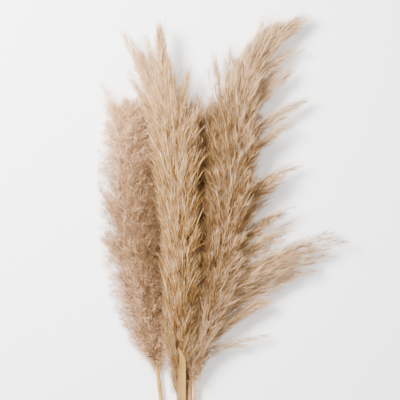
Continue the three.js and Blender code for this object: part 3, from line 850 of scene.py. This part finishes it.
def leaf_piece(name, stalk):
    """The withered leaf: a narrow blade along the left of its stalk, widest low down and pointed at its
    far end, with two waves of 18% and 10% in its width."""
    share = np.linspace(0, 1, 70)
    path = stalk_path(stalk, SHEATH_SPAN[0] + (LEAF_END - SHEATH_SPAN[0]) * share) + LEAF_OFFSET
    fat = np.sin(math.pi * (0.25 + 0.73 * share))
    wave = 1 + 0.18 * np.sin(share * 31) + 0.1 * np.sin(share * 73)
    return tube_mesh(name, tube_grid(path, 2.9 * fat * wave, 3.4 * fat, LEAF_SIDES))


def node(tree, kind, settings=None, links=None):
    """Adds a shader node with its settings, and links its inputs by name or number."""
    made = tree.nodes.new("ShaderNode" + kind)
    for key, value in (settings or {}).items():
        if isinstance(key, int) or key in made.inputs:
            made.inputs[key].default_value = value
        else:
            setattr(made, key, value)
    for key, socket in (links or {}).items():
        tree.links.new(socket, made.inputs[key])
    return made


def new_material(name, settings):
    """A material whose Principled shader has these settings, its tree and the shader."""
    material = bpy.data.materials.new(name)
    material.use_nodes = True
    tree = material.node_tree
    shader = tree.nodes["Principled BSDF"]
    for key, value in settings.items():
        shader.inputs[key].default_value = value
    return material, tree, shader


def hair_material(name, shade, light, pale):
    """Dry silky hair: cellulose fibre, darker at the root as painted shade deep in the tufts and paler to
    the tip, each hair with its own tone from shade over light to pale. IOR 1.53, rough."""
    material, tree, shader = new_material(name, {"Roughness": 0.8, "IOR": 1.53, "Specular IOR Level": 0.08})
    place = node(tree, "UVMap", {"uv_map": "OFBake"})
    split = node(tree, "SeparateXYZ", links={0: place.outputs[0]})
    # Tone rises by 0.34 from root to tip: painted shade at the roots.
    paler = node(tree, "Math", {"operation": "MULTIPLY_ADD", 1: 0.34},
                 {0: split.outputs[0], 2: split.outputs[1]})
    mix = node(tree, "Mix", {"data_type": "RGBA", 6: (*shade, 1), 7: (*light, 1)}, {0: paler.outputs[0]})
    top = node(tree, "MapRange", {1: 1.0, 2: 1.7}, {0: paler.outputs[0]})
    bleached = node(tree, "Mix", {"data_type": "RGBA", 7: (*pale, 1)},
                    {0: top.outputs[0], 6: mix.outputs[2]})
    tree.links.new(bleached.outputs[2], shader.inputs["Base Color"])
    return material


def head_material(name, shade, light):
    """The dense silk deep in a plume, a solid core drawn in its painted shade: short streaks of two
    browns, 3 mm wide and 25 mm long.
    """
    material, tree, shader = new_material(name, {"Roughness": 0.9})
    place = node(tree, "TexCoord")
    stretched = node(tree, "Mapping", {"Scale": (330, 40, 330)}, {0: place.outputs["Object"]})
    noise = node(tree, "TexNoise", {"Scale": 1.0, "Detail": 3.0}, {0: stretched.outputs[0]})
    between = (*(0.5 * a + 0.5 * b for a, b in zip(shade, light)), 1)
    mix = node(tree, "Mix", {"data_type": "RGBA", 6: (*shade, 1), 7: between}, {0: noise.outputs[0]})
    tree.links.new(mix.outputs[2], shader.inputs["Base Color"])
    return material


def straw_material(name, light, shade, stretch, roughness):
    """Dry straw: pale fibre with fine darker lines along it, about 0.6 mm apart."""
    material, tree, shader = new_material(name, {"Roughness": roughness, "IOR": 1.5})
    place = node(tree, "TexCoord")
    stretched = node(tree, "Mapping", {"Scale": stretch}, {0: place.outputs["Object"]})
    fibre = node(tree, "TexNoise", {"Scale": 1.0, "Detail": 4.0}, {0: stretched.outputs[0]})
    spots = node(tree, "TexNoise", {"Scale": 60.0, "Detail": 2.0}, {0: place.outputs["Object"]})
    both = node(tree, "Math", {"operation": "MULTIPLY"}, {0: fibre.outputs[0], 1: spots.outputs[0]})
    span = node(tree, "MapRange", {1: 0.16, 2: 0.36}, {0: both.outputs[0]})
    mix = node(tree, "Mix", {"data_type": "RGBA", 6: (*light, 1), 7: (*shade, 1)}, {0: span.outputs[0]})
    tree.links.new(mix.outputs[2], shader.inputs["Base Color"])
    bump = node(tree, "Bump", {"Strength": 0.25, "Distance": 0.0003}, {"Height": fibre.outputs[0]})
    tree.links.new(bump.outputs[0], shader.inputs["Normal"])
    return material


def dress(piece, material, cad_node):
    """Gives a piece its material and its place, and hides the CAD node it stands for."""
    piece.data.materials.clear()
    piece.data.materials.append(material)
    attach(piece, "root")
    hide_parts(cad_node)


class PAMPAS_OT_plumes(bpy.types.Operator):
    """Builds the four plumes: a dense head, the fine stems of the tufts and their hairs"""
    bl_idname = "pampas.plumes"
    bl_label = "Build plumes"

    def execute(self, context):
        settings = context.scene.pampas_plumes
        for order, (name, plume) in enumerate(PLUMES.items()):
            rng = np.random.default_rng(settings.seed + order)
            short = name.split("_")[1]
            shade = tuple(getattr(settings, short + "_shade"))
            light = tuple(getattr(settings, short + "_light"))
            look = {**USUAL_HAIR, **HAIR[name]}
            hair = hair_material(name + "_hair", shade, light, tuple(settings.pale))
            *curves, slim = branch_curves(plume, look)
            curves = [np.vstack(pair) for pair in zip(curves, foot_curves(plume, look))]
            slim = np.append(slim, np.full(FOOT_BRANCHES, FOOT_SLIMNESS))
            locks = lock_curves(plume, look, rng)
            whole = tuple(np.vstack(pair) for pair in zip(curves, locks))
            lock_slim = np.full(len(locks[0]), LOCK_SLIMNESS)
            all_slim = np.append(slim, lock_slim)
            # The head stops the view through the plume and carries its painted shade.
            dress(head_piece(name + "_head", plume), head_material(name + "_matted", shade, light), name)
            pieces = [strand_piece(name + "_strands", whole, look["stem"], rng),
                      wisp_piece(name + "_wisps", whole, all_slim, plume, look, rng)]
            total = int(look["lock_hairs"] * settings.hair_share)
            lock_look = {**look, **LOCK_HAIR}
            pieces += [hair_piece(name + "_lock_hair", locks, lock_slim, plume, lock_look, total, rng)]
            # Mats of dark hair paint the shade in the clefts.
            if name in SHADE_MATS:
                pieces += [shade_mat_piece(name, plume, rng)]
            total = int(look["hairs"] * settings.hair_share)
            parts = math.ceil(total / HAIRS_PER_PIECE)
            pieces += [hair_piece(f"{name}_hair_{k + 1}", curves, slim, plume, look, total // parts, rng)
                       for k in range(parts)]
            for piece in pieces:
                dress(piece, hair, name)
        return {"FINISHED"}


class PAMPAS_OT_stalks(bpy.types.Operator):
    """Builds the four stalks, the pale sheath with its bent lip and the withered leaf"""
    bl_idname = "pampas.stalks"
    bl_label = "Build stalks"

    def execute(self, context):
        settings = context.scene.pampas_stalks
        shade = tuple(settings.straw_shade)
        skins = {key: straw_material(name, tuple(getattr(settings, key)), shade, *look)
                 for key, (name, *look) in STRAWS.items()}
        for name, stalk in STALKS.items():
            culm = stalk_piece(name + "_culm", stalk, settings.top_radius, settings.foot_radius)
            # The right stalks' rosy straw is paler, partly painted light against the plumes' shade.
            culm_skin = skins["rosy_straw" if stalk["lane"] > 0 else "straw"]
            dress(culm, culm_skin, name)
            culm.data.materials.append(skins["pith"])
            slots = np.zeros(len(culm.data.polygons), np.int32)
            slots[-CULM_SIDES:] = 1
            culm.data.polygons.foreach_set("material_index", slots)
            plume = stalk["plume"]
            rachis = rachis_piece(plume + "_rachis", PLUMES[plume], settings.top_radius)
            dress(rachis, culm_skin, plume)
        # The roll wears the darker, painted-shade copy of the sheath colour.
        dress(sheath_piece("sheath_roll", STALKS["stalk_centre"]), skins["rolled"], "sheath_centre")
        dress(lip_piece("sheath_lip"), skins["sheath"], "sheath_centre")
        dress(leaf_piece("leaf_blade", STALKS["stalk_right"]), skins["withered"], "leaf_right")
        return {"FINISHED"}


class PAMPAS_OT_stage(bpy.types.Operator):
    """Builds the pale surface, the soft light and the camera that looks down"""
    bl_idname = "pampas.stage"
    bl_label = "Build stage"

    def execute(self, context):
        settings = context.scene.pampas_stage
        mesh = bpy.data.meshes.new("surface")
        corners = [(x * SURFACE_HALF, y * SURFACE_HALF, 0) for x, y in ((-1, -1), (1, -1), (1, 1), (-1, 1))]
        mesh.from_pydata(corners, [], [(0, 1, 2, 3)])
        surface = show("surface", mesh)
        colour = (*settings.surface, 1)
        material, _, _ = new_material("pale_surface", {
            "Roughness": 0.9, "Base Color": colour, "Emission Color": colour,
            "Emission Strength": settings.surface_glow})
        surface.data.materials.append(material)
        lamp = bpy.data.lights.new("lamp", "AREA")
        lamp.shape = "DISK"
        lamp.size = LAMP_SIZE
        lamp.energy = settings.lamp_power
        lamp_object = show("lamp", lamp)
        lamp_object.location = LAMP_PLACE
        lamp_object.rotation_euler = (LAMP_AIM - LAMP_PLACE).to_track_quat("-Z", "Y").to_euler()
        world = bpy.data.worlds.new("soft_light")
        world.use_nodes = True
        sky = world.node_tree.nodes["Background"].inputs
        sky["Color"].default_value = (1, 1, 1, 1)
        sky["Strength"].default_value = settings.sky_strength
        context.scene.world = world
        camera = bpy.data.cameras.new("camera")
        camera.sensor_width = SENSOR_WIDTH
        camera.lens = SENSOR_WIDTH * (settings.camera_height - VIEW_HEIGHT) / settings.view_width
        camera.clip_end = 20
        camera_object = show("camera", camera)
        camera_object.location = (*to_row(VIEW_MIDDLE)[:2], settings.camera_height)
        context.scene.camera = camera_object
        return {"FINISHED"}


class PAMPAS_PT_panel(bpy.types.Panel):
    """Lists the steps that build the bundle"""
    bl_idname = "PAMPAS_PT_panel"
    bl_label = "Pampas grass bundle"
    bl_space_type = "VIEW_3D"
    bl_region_type = "UI"
    bl_category = "Pampas"

    def draw(self, context):
        for key in SETTINGS:
            group = getattr(context.scene, key)
            for name in group.__annotations__:
                self.layout.prop(group, name)
        for operator in OPERATORS:
            self.layout.operator(operator.bl_idname)


SETTINGS = {"pampas_plumes": PampasPlumes, "pampas_stalks": PampasStalks, "pampas_stage": PampasStage}
OPERATORS = (PAMPAS_OT_plumes, PAMPAS_OT_stalks, PAMPAS_OT_stage)
CLASSES = (*SETTINGS.values(), *OPERATORS, PAMPAS_PT_panel)


def register():
    """Registers the classes and hangs their settings on the scene."""
    for cls in CLASSES:
        bpy.utils.register_class(cls)
    for key, group in SETTINGS.items():
        setattr(bpy.types.Scene, key, PointerProperty(type=group))


def unregister():
    """Takes away what register added."""
    for key in SETTINGS:
        delattr(bpy.types.Scene, key)
    for cls in reversed(CLASSES):
        bpy.utils.unregister_class(cls)


def main():
    """Builds the bundle."""
    register()
    bpy.ops.pampas.plumes()
    bpy.ops.pampas.stalks()
    bpy.ops.pampas.stage()


if __name__ == "__main__":
    main()
